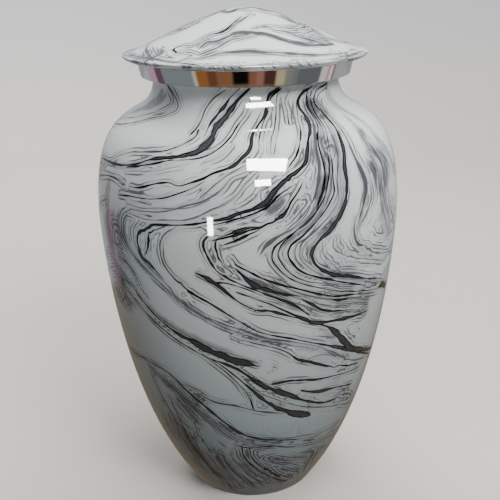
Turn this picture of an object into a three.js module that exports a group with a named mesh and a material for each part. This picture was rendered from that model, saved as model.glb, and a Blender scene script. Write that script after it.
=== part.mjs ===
// A full-size cremation urn of cast aluminium: a hollow shouldered body, a turned metal collar over its neck
// and a domed lid on the collar. Collar and lid lift off together, so that the inside can be filled.
// Millimetres, +Z up. The origin is the middle of the base, on the plane that the urn stands on.
import * as THREE from "three";

// Driving dimensions of the body.
const footRadius = 37.5; // outer edge of the base
const footChamfer = 1.2;
const footRingWidth = 8; // flat ring that the urn stands on
const footRecess = 1.5; // depth of the recess inside that ring
const flareAngle = THREE.MathUtils.degToRad(35); // the wall's lean from upright at the base
const flareReach = 71.5; // how far the wall keeps that lean
const bellyRadius = 81.1; // widest, at the shoulder
const bellyHeight = 166;
const bellyUnderReach = 6; // how long the wall stays upright under the widest line
const neckRadius = 48.3;
const neckHeight = 237.1; // where the neck enters the collar
const shoulderRoundness = 0.965; // how far the belly's upright carries up, as a share of the rise to the neck
const neckRoundness = 0.398; // and the neck's upright down, as a share of the same rise
const wall = 3; // cast wall of the body
const floorThickness = 4.5;

// Driving dimensions of the collar.
const collarHeight = 7.9; // polished band that shows between neck and lid
const collarRadius = 54.5; // at the band's lower edge
const collarFlare = 1.6; // how much wider the band is at its top
const collarEdge = 0.5; // broken lower edge
const neckClearance = 0.5; // between the neck and the collar's bore
const ledgeRadius = 45.3; // the ledge that rests on the neck's rim
const ledgeThickness = 3;
const spigotWall = 3.1; // ring that stands up from the collar and centres the lid
const spigotHeight = 2.4;
const spigotClearance = 0.4;

// Driving dimensions of the lid.
const lidRadius = 63.3; // widest line of the rolled rim
const lidRimDrop = 2.7; // from that line down to the lid's underside
const lidRimRise = 4; // and from it up to where the dome starts
const rimRoll = 11.2; // how far the rolled rim reaches in, above
const underRoll = 6.3; // and below
const domeRise = 18.3; // from the top of the rim to the peak
const peakReach = 14.1; // flat-topped start of the dome's curve
const skirtReach = 16.4; // length of the dome's slope towards the rim
const skirtAngle = THREE.MathUtils.degToRad(25.5); // that slope, from level
const lidWall = 3;

// How finely the round surfaces are cut into flat faces.
const sidesAround = 60;
const bodySteps = { flare: 9, shoulder: 11 };
const lidSteps = { dome: 9, rim: 3, underside: 2 };

const lidBase = neckHeight + collarHeight; // the lid's underside, on the collar's top
const neckRimHeight = lidBase - ledgeThickness; // top of the neck, inside the collar
const rimHeight = lidBase + lidRimDrop;
const domeBase = rimHeight + lidRimRise;
const peakHeight = domeBase + domeRise;
const domeEdge = lidRadius - rimRoll;
const spigotRadius = collarRadius + collarFlare - lidWall + spigotClearance;

const point = (radius, height) => new THREE.Vector2(radius, height);

// Points of a cubic curve from one place on a profile to another, without its first point.
function curve(from, fromHandle, toHandle, to, steps) {
  return new THREE.CubicBezierCurve(from, fromHandle, toHandle, to).getPoints(steps).slice(1);
}

// The inner side of a wall: each point of its outer line, moved square to that line.
function innerLine(line, thickness) {
  return line.map((p, i) => {
    const before = line[Math.max(i - 1, 0)];
    const after = line[Math.min(i + 1, line.length - 1)];
    const along = after.clone().sub(before).normalize();
    return point(p.x - along.y * thickness, p.y + along.x * thickness);
  });
}

// A ring or shell turned about +Z from its closed outline.
function turned(name, outline, material) {
  const geometry = new THREE.LatheGeometry(outline, sidesAround);
  geometry.rotateX(Math.PI / 2);
  const mesh = new THREE.Mesh(geometry, material);
  mesh.name = name;
  return mesh;
}

// Marbled gloss enamel, given by its mean colour, and plated metal.
const enamel = new THREE.MeshStandardMaterial({ color: 0xc3c9c9, roughness: 0.12, metalness: 0 });
const plating = new THREE.MeshStandardMaterial({ color: 0xd2d2d4, roughness: 0.06, metalness: 1 });

// The wall from the base's edge up to the neck's rim, as seen from outside.
function bodyOutside() {
  const foot = point(footRadius, footChamfer);
  const belly = point(bellyRadius, bellyHeight);
  const neck = point(neckRadius, neckHeight);
  const flareHandle = point(
    footRadius + flareReach * Math.sin(flareAngle),
    footChamfer + flareReach * Math.cos(flareAngle),
  );
  const rise = neckHeight - bellyHeight;
  const bellyHandle = point(bellyRadius, bellyHeight + shoulderRoundness * rise);
  const neckHandle = point(neckRadius, neckHeight - neckRoundness * rise);
  return [
    foot,
    ...curve(foot, flareHandle, point(bellyRadius, bellyHeight - bellyUnderReach), belly, bodySteps.flare),
    ...curve(belly, bellyHandle, neckHandle, neck, bodySteps.shoulder),
    point(neckRadius, neckRimHeight),
  ];
}

// A hollow shell on a flat ring, with its floor inside and a shallow recess below.
function body() {
  const outside = bodyOutside();
  const floorTop = footRecess + floorThickness;
  const inside = innerLine(outside, wall).filter((p) => p.y > floorTop + wall && p.y < neckRimHeight - wall);
  inside.push(point(neckRadius - wall, neckRimHeight));
  const recessRadius = footRadius - footChamfer - footRingWidth;
  return turned("body", [
    point(0, footRecess),
    point(recessRadius, footRecess),
    point(recessRadius + footRecess, 0),
    point(footRadius - footChamfer, 0),
    ...outside,
    ...inside.reverse(),
    point(footRadius - wall, floorTop),
    point(0, floorTop),
  ], enamel);
}

// The turned collar: a flared band, a ledge over the neck's rim and a spigot that centres the lid.
function collar() {
  const bore = neckRadius + neckClearance;
  const spigot = spigotRadius - spigotClearance;
  return turned("collar", [
    point(bore, neckHeight),
    point(collarRadius - collarEdge, neckHeight),
    point(collarRadius, neckHeight + collarEdge),
    point(collarRadius + collarFlare, lidBase),
    point(spigot, lidBase),
    point(spigot, lidBase + spigotHeight),
    point(spigot - spigotWall, lidBase + spigotHeight),
    point(spigot - spigotWall, lidBase),
    point(ledgeRadius, lidBase),
    point(ledgeRadius, neckRimHeight),
    point(bore, neckRimHeight),
    point(bore, neckHeight),
  ], plating);
}

// The lid: a bell-shaped dome with a rolled rim, hollow below.
function lid() {
  const peak = point(0, peakHeight);
  const domeEnd = point(domeEdge, domeBase);
  const skirt = point(skirtReach * Math.cos(skirtAngle), skirtReach * Math.sin(skirtAngle));
  const domeHandle = point(domeEdge - skirt.x, domeBase + skirt.y);
  const dome = curve(domeEnd, domeHandle, point(peakReach, peakHeight), peak, lidSteps.dome);
  const rimLine = point(lidRadius, rimHeight);
  const rimBelow = point(lidRadius, rimHeight - lidRimDrop / 2);
  const rimAbove = point(lidRadius, rimHeight + lidRimRise / 3);
  const domeStart = point(domeEdge + skirt.x / 2, domeBase - skirt.y / 2);
  const underside = point(lidRadius - underRoll, lidBase);
  const inside = innerLine([domeEnd, ...dome], lidWall)
    .filter((p) => p.x > lidWall && p.x < spigotRadius - lidWall);
  return turned("lid", [
    point(spigotRadius, lidBase),
    underside,
    ...curve(underside, point(lidRadius - underRoll / 2, lidBase), rimBelow, rimLine, lidSteps.underside),
    ...curve(rimLine, rimAbove, domeStart, domeEnd, lidSteps.rim),
    ...dome,
    point(0, peakHeight - lidWall),
    ...inside.reverse(),
    point(spigotRadius, lidBase + spigotHeight + spigotClearance),
    point(spigotRadius, lidBase),
  ], enamel);
}

const urn = new THREE.Group();
urn.add(body(), collar(), lid());

export default urn;
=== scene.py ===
# A full-size cremation urn: hollow body and lid in marbled gloss enamel, and a polished collar between them.
import math
from functools import partial

import bpy
import numpy as np
from mathutils import Matrix, Vector


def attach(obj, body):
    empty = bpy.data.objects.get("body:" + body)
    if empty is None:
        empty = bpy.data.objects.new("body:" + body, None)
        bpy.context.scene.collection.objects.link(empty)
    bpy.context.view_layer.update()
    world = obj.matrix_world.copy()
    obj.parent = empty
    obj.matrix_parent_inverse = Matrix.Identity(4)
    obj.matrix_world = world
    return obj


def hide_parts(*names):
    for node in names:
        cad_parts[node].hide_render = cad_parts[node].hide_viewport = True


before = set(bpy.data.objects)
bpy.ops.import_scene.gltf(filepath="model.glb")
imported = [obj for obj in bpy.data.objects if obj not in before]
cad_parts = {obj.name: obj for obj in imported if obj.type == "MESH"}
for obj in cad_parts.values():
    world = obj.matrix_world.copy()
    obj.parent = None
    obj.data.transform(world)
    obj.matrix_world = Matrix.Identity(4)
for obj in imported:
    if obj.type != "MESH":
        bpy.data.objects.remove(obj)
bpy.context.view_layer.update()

mm = 0.001


def linear(hexColour):  # sRGB hex to linear RGBA
    channels = [int(hexColour[i:i + 2], 16) / 255 for i in (1, 3, 5)]
    return [c / 12.92 if c <= 0.04045 else ((c + 0.055) / 1.055) ** 2.4 for c in channels] + [1.0]


# The camera stands where the photograph was taken; focal is in pixels of its 500 x 500 frame.
shot = {
    "place": (4.23, -430.8, 294.9), "pitch": 20.01, "yaw": 0.48, "roll": -1.07,
    "focal": 812, "frame": 500, "sensor": 36,
}


def cameraTurn():
    pitch, yaw, roll = (math.radians(shot[k]) for k in ("pitch", "yaw", "roll"))
    tilt = Matrix.Rotation(math.pi / 2 - pitch, 3, "X")
    return Matrix.Rotation(yaw, 3, "Z") @ tilt @ Matrix.Rotation(roll, 3, "Z")


def makeCamera():
    data = bpy.data.cameras.new("camera")
    data.sensor_width = shot["sensor"]
    data.lens = shot["focal"] * shot["sensor"] / shot["frame"]
    camera = bpy.data.objects.new("camera", data)
    camera.matrix_world = Matrix.LocRotScale(Vector(shot["place"]) * mm, cameraTurn(), None)
    bpy.context.collection.objects.link(camera)
    bpy.context.scene.camera = camera


makeCamera()
print("camera placed")


# Outlines, as radius and height in mm.
def bend(start, startHandle, endHandle, end, count):  # points of a cubic curve, without its first
    t = np.linspace(0, 1, count + 1)[1:, None]
    a, b, c, d = (np.array(p, float) for p in (start, startHandle, endHandle, end))
    return a * (1 - t) ** 3 + 3 * b * t * (1 - t) ** 2 + 3 * c * t * t * (1 - t) + d * t ** 3


def innerLine(line, wall):  # the same line, moved in by the wall's thickness
    along = np.gradient(line, axis=0)
    along /= np.linalg.norm(along, axis=1)[:, None]
    return line + wall * np.stack([-along[:, 1], along[:, 0]], 1)


body = {
    "footRadius": 37.5, "footRound": 1.2, "footBulge": 0.55, "ringWidth": 8, "recess": 1.5, "floor": 4.5,
    "wall": 3, "flareAngle": 35, "flareReach": 71.5,
    "bellyRadius": 81.1, "bellyHeight": 166, "bellyUnder": 6,
    "shoulderRound": 0.965, "neckRound": 0.398,
    "neckRadius": 48.3, "neckHeight": 237.1, "rimHeight": 242,
    "sides": 400, "flareRows": 112, "shoulderRows": 80, "footRows": 4, "innerRows": 26,
}
lid = {
    "radius": 63.3, "base": 245, "rimDrop": 2.7, "rimRise": 4, "rimRoll": 11.2, "underRoll": 6.3,
    "domeRise": 18.3, "peakReach": 14.1, "skirtReach": 16.4, "skirtAngle": 25.5, "wall": 3,
    "spigotRadius": 53.5, "spigotHeight": 2.8, "poleGap": 2,
    "sides": 384, "domeRows": 84, "rimRows": 22, "underRows": 12, "innerRows": 16,
}
collar = {
    "bore": 48.8, "lowRadius": 54.5, "topRadius": 56.1, "edge": 0.5, "edgeRound": 0.3,
    "low": 237.1, "top": 245, "neckRim": 242, "ledge": 45.3,
    "spigotOuter": 53.1, "spigotInner": 50, "spigotTop": 247.4, "sides": 320,
}


def bodyOutside():
    b = body
    foot = (b["footRadius"], b["footRound"])
    belly = (b["bellyRadius"], b["bellyHeight"])
    neck = (b["neckRadius"], b["neckHeight"])
    lean = math.radians(b["flareAngle"])
    rise = neck[1] - belly[1]
    flare = (foot[0] + b["flareReach"] * math.sin(lean), foot[1] + b["flareReach"] * math.cos(lean))
    overBelly = (belly[0], belly[1] + b["shoulderRound"] * rise)
    underNeck = (neck[0], neck[1] - b["neckRound"] * rise)
    return np.vstack([
        [foot],
        bend(foot, flare, (belly[0], belly[1] - b["bellyUnder"]), belly, b["flareRows"]),
        bend(belly, overBelly, underNeck, neck, b["shoulderRows"]),
        [(neck[0], b["rimHeight"])],
    ])


def bodyOutline():
    b = body
    outside = bodyOutside()
    inside = innerLine(outside, b["wall"])
    floorTop = b["recess"] + b["floor"]
    inside = inside[(inside[:, 1] > floorTop + b["wall"]) & (inside[:, 1] < b["rimHeight"] - b["wall"])]
    inside = inside[np.linspace(0, len(inside) - 1, b["innerRows"]).astype(int)][::-1]
    foot, ringEdge = b["footRadius"], b["footRadius"] - b["footRound"]
    recessRadius = ringEdge - b["ringWidth"]
    bulge = b["footBulge"] * b["footRound"]
    rounding = bend((ringEdge, 0), (ringEdge + bulge, 0), (foot, b["footRound"] - bulge),
                    (foot, b["footRound"]), b["footRows"])
    return np.vstack([
        [(0, b["recess"]), (recessRadius, b["recess"]), (recessRadius + b["recess"], 0), (ringEdge, 0)],
        rounding[:-1],
        outside,
        [(b["neckRadius"] - b["wall"], b["rimHeight"])],
        inside,
        [(foot - b["wall"], floorTop), (0, floorTop)],
    ])


def lidOutline():
    d = lid
    rimLine = d["base"] + d["rimDrop"]
    domeBase = rimLine + d["rimRise"]
    peak = domeBase + d["domeRise"]
    edge = d["radius"] - d["rimRoll"]
    slope = math.radians(d["skirtAngle"])
    skirt = (d["skirtReach"] * math.cos(slope), d["skirtReach"] * math.sin(slope))
    under = (d["radius"] - d["underRoll"], d["base"])
    widest = (d["radius"], rimLine)
    domeEnd = (edge, domeBase)
    dome = bend(domeEnd, (edge - skirt[0], domeBase + skirt[1]), (d["peakReach"], peak), (0, peak),
                d["domeRows"])
    inside = innerLine(np.vstack([[domeEnd], dome]), d["wall"])
    inside = inside[(inside[:, 0] > d["poleGap"]) & (inside[:, 0] < d["spigotRadius"] - d["wall"])]
    inside = inside[np.linspace(0, len(inside) - 1, d["innerRows"]).astype(int)][::-1]
    return np.vstack([
        [(d["spigotRadius"], d["base"]), under],
        bend(under, (d["radius"] - d["underRoll"] / 2, d["base"]), (d["radius"], rimLine - d["rimDrop"] / 2),
             widest, d["underRows"]),
        bend(widest, (d["radius"], rimLine + d["rimRise"] / 3),
             (edge + skirt[0] / 2, domeBase - skirt[1] / 2), domeEnd, d["rimRows"]),
        dome,
        [(0, peak - d["wall"])],
        inside,
        [(d["spigotRadius"], d["base"] + d["spigotHeight"]), (d["spigotRadius"], d["base"])],
    ])


def collarOutline():
    c = collar
    rounding = c["edge"] * c["edgeRound"]
    return np.array([
        (c["bore"], c["low"]), (c["lowRadius"] - c["edge"], c["low"]),
        (c["lowRadius"] - rounding, c["low"] + rounding), (c["lowRadius"], c["low"] + c["edge"]),
        (c["topRadius"], c["top"]),
        (c["spigotOuter"], c["top"]), (c["spigotOuter"], c["spigotTop"]), (c["spigotInner"], c["spigotTop"]),
        (c["spigotInner"], c["top"]), (c["ledge"], c["top"]), (c["ledge"], c["neckRim"]),
        (c["bore"], c["neckRim"]), (c["bore"], c["low"]),
    ])


onAxis = 1e-6  # mm
creaseAngle = 35  # degrees from which an edge is drawn sharp


def turned(name, outline, sides):  # a closed shell turned about the Z axis, with its vertices row by row
    angles = np.arange(sides) * 2 * math.pi / sides
    closed = np.allclose(outline[0], outline[-1])
    rows = outline[:-1] if closed else outline
    verts, faces, rings = [], [], []
    for radius, height in rows:
        rings.append((len(verts), radius < onAxis))
        if radius < onAxis:
            verts.append((0, 0, height))
        else:
            verts += [(radius * math.sin(a), -radius * math.cos(a), height) for a in angles]
    pairs = list(zip(rings, rings[1:])) + ([(rings[-1], rings[0])] if closed else [])
    for (low, lowPole), (high, highPole) in pairs:
        for i in range(sides):
            j = (i + 1) % sides
            if lowPole:
                faces.append((low, high + j, high + i))
            elif highPole:
                faces.append((low + i, low + j, high))
            else:
                faces.append((low + i, low + j, high + j, high + i))
    mesh = bpy.data.meshes.new(name)
    mesh.from_pydata([tuple(c * mm for c in v) for v in verts], [], faces)
    mesh.polygons.foreach_set("use_smooth", [True] * len(mesh.polygons))
    mesh.set_sharp_from_angle(angle=math.radians(creaseAngle))
    piece = bpy.data.objects.new(name, mesh)
    bpy.context.collection.objects.link(piece)
    print(name, len(mesh.polygons), "faces")
    return piece


bodyPiece = turned("urn_body", bodyOutline(), body["sides"])
lidPiece = turned("urn_lid", lidOutline(), lid["sides"])
collarPiece = turned("urn_collar", collarOutline(), collar["sides"])

# Marbling. Each vein is one stroke of ink: seen is its course in pixels of the 500 x 500 photograph,
# ink its half thickness in mm from end to end. A level is how far it lies across the flow, in mm or so.
bodyBlack = {
    "thread": {"level": -7, "ink": (0.2, 0.3, 0.25, 0.5),
        "seen": [(224, 91), (213, 99), (205, 110), (201, 120), (196, 129), (192, 133)]},
    "threadLower": {"ink": (0.4, 0.35, 0.3, 0.2, 0.15),
        "seen": [(198, 131), (196, 136), (187, 142), (177, 147), (168, 150), (148, 152), (131, 152),
        (111, 160)]},
    "threadBlob": {"ink": (0.2, 0.3, 0.9, 0.9, 0.3, 0.2),
        "seen": [(238, 90), (230, 98), (224, 107), (218, 114), (213, 120), (205, 135)]},
    "shoulderBold": {"level": 0, "ink": (0.5, 1.0, 1.7, 1.9, 1.7, 1.2, 0.9, 0.6, 0.5, 0.6, 0.8, 0.7, 0.4),
        "seen": [(248, 90), (238, 100), (231, 110), (223, 119), (216, 128), (213, 136), (207, 144),
        (199, 150), (190, 154), (177, 157), (160, 158), (148, 160), (136, 164), (126, 165), (115, 164),
        (108, 161), (103, 158)]},
    "shoulderLens": {"ink": (0.2, 0.4, 0.5, 0.5),
        "seen": [(183, 160), (166, 161), (152, 164), (138, 166), (128, 167)]},
    "shoulderFine": {"level": 4, "ink": (0.25, 0.4, 0.35, 0.25),
        "seen": [(250, 100), (247, 112), (238, 125), (231, 136), (222, 146), (212, 153), (203, 157),
        (184, 160)]},
    "longBold": {"level": 12, "ink": (0.6, 0.8, 0.8, 0.7, 0.9, 0.7, 0.5, 0.4, 0.6, 0.3),
        "seen": [(277, 89), (270, 94), (267, 102), (265, 114), (257, 127), (252, 136), (251, 145), (248, 152),
        (242, 158), (235, 165), (224, 170), (212, 174), (203, 179), (193, 182), (177, 186), (170, 183),
        (161, 183), (150, 185), (138, 188), (131, 187)]},
    "longTail": {"ink": (0.2, 0.5, 0.3), "seen": [(124, 184), (117, 179), (110, 176), (101, 175)]},
    "neckFine": {"ink": (0.4, 0.4, 0.35, 0.2),
        "seen": [(279, 90), (272, 96), (267, 113), (261, 130), (259, 141), (258, 152), (254, 158)]},
    "neckFineRight": {"ink": (0.2, 0.3, 0.25),
        "seen": [(277, 96), (276, 113), (274, 130), (271, 139), (271, 152)]},
    "neckDot": {"ink": (0.15, 0.2, 0.2, 0.7), "seen": [(288, 93), (285, 100), (287, 111), (289, 123)]},
    "fineOne": {"level": 17, "ink": (0.2, 0.35, 0.3, 0.25, 0.5),
        "seen": [(202, 183), (191, 189), (177, 194), (164, 198), (152, 199), (140, 198), (129, 196),
        (120, 195)]},
    "dashLine": {"ink": (0.3, 0.3, 0.2, 0.2, 0.6, 0.2, 0.5, 0.4),
        "seen": [(302, 92), (297, 100), (297, 110), (299, 123), (301, 132), (300, 142), (296, 156),
        (290, 165)]},
    "turnBold": {"level": 34, "ink": (0.5, 0.6, 1.2, 0.6, 0.8, 0.9, 1.2, 1.1, 0.9, 0.6, 0.5, 0.5, 1.1, 0.9,
        0.8, 0.3),
        "seen": [(311, 87), (302, 93), (298, 100), (299, 107), (305, 115), (309, 124), (310, 132), (308, 141),
        (307, 152), (306, 161), (300, 169), (289, 177), (282, 183), (273, 193), (267, 201), (256, 208),
        (240, 213), (228, 218), (212, 221), (197, 224), (182, 225), (166, 225), (152, 225), (146, 229),
        (138, 234), (137, 239), (139, 248), (143, 258), (148, 262), (155, 270), (162, 278)]},
    "turnSplit": {"ink": (0.2, 0.5, 0.4, 0.2),
        "seen": [(291, 187), (278, 196), (270, 205), (258, 212), (240, 218), (222, 223), (205, 226)]},
    "turnHook": {"ink": (0.3, 0.35, 0.6, 0.9, 0.3),
        "seen": [(163, 227), (152, 232), (148, 240), (148, 247), (146, 253)]},
    "gapEdge": {"level": 43, "ink": (0.2, 0.3, 0.5, 0.4, 0.4, 0.6, 0.9, 0.6, 0.3),
        "seen": [(174, 228), (168, 231), (163, 236), (160, 246), (161, 256), (164, 265), (173, 277),
        (182, 285), (195, 295), (211, 304), (227, 314), (242, 323), (259, 332), (276, 336), (292, 339),
        (314, 343), (337, 347), (359, 352), (370, 353)]},
    "hairpin": {"level": 62, "ink": (0.3, 0.7, 0.6, 0.9, 0.6, 0.8, 0.6),
        "seen": [(302, 184), (298, 192), (292, 201), (287, 210), (282, 216), (273, 221), (262, 227),
        (251, 230), (240, 234), (228, 237), (216, 240)]},
    "hairpinBar": {"ink": (0.3, 0.8, 0.6, 0.3), "seen": [(257, 227), (245, 229), (232, 233), (219, 238)]},
    "hairpinLow": {"ink": (0.3, 0.7, 0.6, 0.2), "seen": [(257, 231), (246, 236), (235, 241), (224, 245)]},
    "hairpinOuter": {"ink": (0.3, 0.5, 0.5, 0.6, 0.5, 0.4, 0.5, 0.9, 0.4),
        "seen": [(220, 236), (209, 236), (204, 240), (203, 246), (207, 256), (216, 270), (227, 278),
        (242, 285), (260, 292), (276, 298), (292, 304), (308, 314)]},
    "hairpinInner": {"ink": (0.4, 0.6, 0.4, 0.3),
        "seen": [(217, 240), (215, 244), (217, 253), (221, 263), (231, 272)]},
    "eye": {"ink": (0.3, 1.2, 1.3, 0.8, 0.7, 0.4),
        "seen": [(237, 270), (243, 276), (249, 282), (258, 287), (271, 291), (283, 294), (298, 296)]},
    "loopLower": {"ink": (0.3, 0.6, 0.5, 0.7, 0.6, 0.7, 0.6, 0.2),
        "seen": [(230, 258), (236, 265), (247, 271), (264, 279), (281, 285), (298, 289), (314, 293),
        (331, 296), (348, 295), (362, 293)]},
    "bundleLeft": {"level": 88, "ink": (0.3, 0.3, 0.5, 0.3, 0.3, 0.4, 0.5, 0.3, 0.3, 0.4, 0.3, 0.2),
        "seen": [(307, 92), (306, 102), (311, 113), (317, 124), (318, 141), (320, 152), (323, 163),
        (325, 174), (323, 185), (320, 197), (317, 210), (309, 221), (296, 231), (285, 239), (273, 250),
        (272, 258), (279, 269), (288, 277), (303, 284), (320, 288), (337, 291), (359, 291), (381, 287)]},
    "bundleInner": {"ink": (0.2, 0.3, 0.25, 0.4, 0.3, 0.35, 0.3, 0.3, 0.2),
        "seen": [(307, 97), (309, 108), (316, 118), (322, 128), (325, 140), (328, 153), (329, 165),
        (329, 175), (327, 186), (324, 198), (316, 212), (305, 223), (292, 235), (281, 246), (278, 254),
        (283, 265), (293, 275), (306, 281), (320, 283)]},
    "bundleCore": {"ink": (0.3, 1.0, 0.8, 0.3), "seen": [(325, 181), (323, 189), (321, 197), (317, 206)]},
    "bundleMiddle": {"level": 97, "ink": (0.3, 0.3, 0.3, 0.4, 0.4, 0.5, 0.6, 0.6, 0.4, 0.3),
        "seen": [(311, 102), (325, 128), (329, 148), (332, 163), (333, 180), (334, 191), (328, 206),
        (318, 220), (303, 236), (290, 247), (288, 253), (294, 265), (303, 272), (318, 277), (332, 280),
        (348, 283), (364, 285)]},
    "bundleBold": {"level": 105, "ink": (0.5, 0.4, 0.6, 0.9, 1.1, 1.2, 1.2, 1.0, 0.9, 0.9, 0.6, 0.4, 0.3),
        "seen": [(326, 84), (316, 91), (314, 101), (321, 111), (331, 122), (339, 135), (344, 152), (345, 169),
        (347, 185), (345, 202), (339, 217), (331, 229), (320, 240), (314, 248), (312, 254), (314, 262),
        (321, 269), (332, 274), (348, 276), (364, 278), (381, 278)]},
    "knot": {"ink": (0.4, 0.9, 0.9, 0.6, 0.3),
        "seen": [(303, 300), (311, 304), (321, 309), (332, 311), (345, 310)]},
    "shortBar": {"ink": (0.2, 0.7, 0.3), "seen": [(330, 298), (337, 300), (346, 299)]},
    "cusp": {"level": 52, "ink": (0.7, 1.1, 0.9, 0.7, 0.7, 0.3, 0.3, 0.6, 0.8, 0.6, 0.3),
        "seen": [(198, 274), (206, 278), (216, 284), (227, 293), (237, 301), (248, 307), (259, 311),
        (268, 311), (281, 314), (296, 318)]},
    "cuspTop": {"ink": (0.7, 0.4, 0.3, 0.2),
        "seen": [(214, 283), (224, 283), (236, 286), (248, 290), (260, 295)]},
    "dashes": {"ink": (0.5, 0.2, 0.4, 0.5, 0.9, 1.0, 1.2, 1.3, 1.0, 0.5),
        "seen": [(238, 293), (253, 298), (269, 304), (283, 310), (296, 316), (306, 320), (320, 323),
        (332, 321), (345, 318), (357, 315), (366, 311)]},
    "branch": {"ink": (0.6, 1.5, 1.6, 1.5, 1.2, 1.0, 0.9),
        "seen": [(322, 325), (330, 328), (337, 333), (344, 341), (350, 347), (362, 349), (373, 347)]},
    "middleThin": {"ink": (0.2, 0.25, 0.3, 1.0, 0.5, 0.5, 0.3),
        "seen": [(233, 337), (253, 343), (275, 348), (288, 353), (297, 359), (311, 362), (327, 366),
        (342, 366), (357, 363)]},
    "core": {"level": 27, "ink": (0.3, 0.4, 0.5, 0.5, 0.6, 1.0, 1.6, 2.1, 2.2, 0.5),
        "seen": [(115, 259), (121, 272), (132, 286), (142, 300), (158, 318), (170, 328), (180, 335),
        (192, 341), (204, 348), (216, 354), (228, 358), (240, 362), (250, 364), (257, 366)]},
    "coreLower": {"ink": (0.3, 0.4, 0.4, 0.4, 0.4, 1.0, 1.5, 1.4, 0.8, 0.6),
        "seen": [(115, 267), (122, 282), (135, 299), (152, 319), (169, 334), (190, 348), (211, 359),
        (225, 364), (238, 370), (253, 379), (267, 387), (283, 393), (296, 398), (312, 402), (326, 402),
        (334, 399)]},
    "coreFork": {"ink": (0.9, 0.5, 0.9, 0.7, 0.3, 0.3, 0.2),
        "seen": [(274, 384), (288, 381), (302, 380), (319, 379), (337, 375), (358, 367)]},
    "blobLine": {"ink": (0.7, 1.1, 0.6, 0.5),
        "seen": [(303, 391), (312, 392), (325, 390), (337, 387), (350, 384)]},
    "under": {"level": 16, "ink": (0.3, 0.4, 0.5, 0.7, 1.1, 1.5, 2.4, 1.9),
        "seen": [(204, 355), (222, 366), (240, 380), (253, 391), (265, 401), (278, 408), (290, 412),
        (300, 414), (308, 415)]},
    "underLine": {"ink": (0.2, 0.3, 0.3, 0.2),
        "seen": [(262, 394), (281, 401), (300, 406), (320, 407), (338, 405), (350, 401)]},
    "lensEdge": {"ink": (0.2, 0.3, 0.25, 0.4),
        "seen": [(203, 355), (227, 373), (241, 387), (250, 399), (253, 408)]},
    "gapLine": {"level": 10, "ink": (0.2, 0.3, 0.5, 0.3, 0.3, 0.2),
        "seen": [(184, 385), (197, 392), (212, 401), (236, 406), (257, 411), (288, 413)]},
    "lowBold": {"level": 0, "ink": (0.3, 0.5, 0.6, 0.9, 0.8, 0.4, 0.25, 0.25),
        "seen": [(132, 350), (149, 361), (170, 374), (187, 391), (206, 407), (224, 422), (242, 434),
        (261, 439), (282, 440), (304, 438), (324, 431), (338, 422)]},
    "footLine": {"ink": (0.2, 0.5, 0.9, 1.0, 0.7),
        "seen": [(169, 396), (178, 415), (188, 437), (200, 455), (213, 470), (226, 481), (232, 489)]},
    "stackTop": {"ink": (0.2, 0.5, 0.7, 0.3, 0.2),
        "seen": [(236, 445), (249, 448), (262, 447), (273, 446), (288, 447), (311, 442)]},
    "stackLeft": {"level": -26, "ink": (0.4, 0.5, 0.4, 0.5, 0.8),
        "seen": [(242, 448), (244, 456), (251, 464), (260, 472), (272, 477), (285, 481)]},
    "stackRight": {"ink": (0.3, 0.5, 0.4, 0.7, 0.9),
        "seen": [(250, 450), (252, 457), (259, 465), (268, 470), (278, 476)]},
    "edgeNode": {"ink": (0.5, 2.0, 1.8), "seen": [(378, 287), (382, 284), (385, 285)]},
}
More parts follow.
